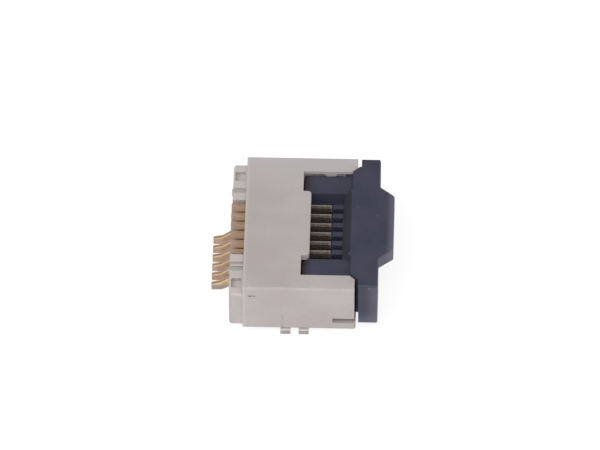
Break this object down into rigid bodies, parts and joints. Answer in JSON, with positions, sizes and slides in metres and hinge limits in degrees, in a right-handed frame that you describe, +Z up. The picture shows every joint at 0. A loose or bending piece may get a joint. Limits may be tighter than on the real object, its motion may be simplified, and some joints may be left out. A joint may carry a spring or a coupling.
{
  "type": "flexible flat cable connector with sliding lock",
  "caption": "Surface-mounted connector for a flat flexible cable, with stamped fork contacts, fitting nails and a sliding lock that pulls out at the front.",
  "frame": {"origin": "on the face of the circuit board, under the middle of the whole connector, closed", "axes": "+X along the contact row, -Y to the side where the cable goes in and the slider pulls out, +Z up from the board"},
  "size_m": [0.0074, 0.0072, 0.0026],
  "materials": {
    "housing_plastic": "moulded liquid crystal polymer, pale beige grey, fine matte",
    "slider_plastic": "moulded plastic, dark slate, fine matte",
    "contact_metal": "stamped copper alloy strip, gold flashed",
    "tinned_metal": "stamped sheet, matte tin plated"
  },
  "bodies": {
    "housing": {"housing": "housing_plastic", "nail_left": "tinned_metal", "nail_right": "tinned_metal", "contact_1": "contact_metal", "contact_2": "contact_metal", "contact_3": "contact_metal", "contact_4": "contact_metal", "contact_5": "contact_metal", "contact_6": "contact_metal"},
    "slider": {"slider": "slider_plastic"}
  },
  "joints": [
    {"name": "slider_pull", "type": "slide", "parent": "housing", "child": "slider", "axis": [0, -1, 0], "range_m": [0, 0.0009]}
  ]
}
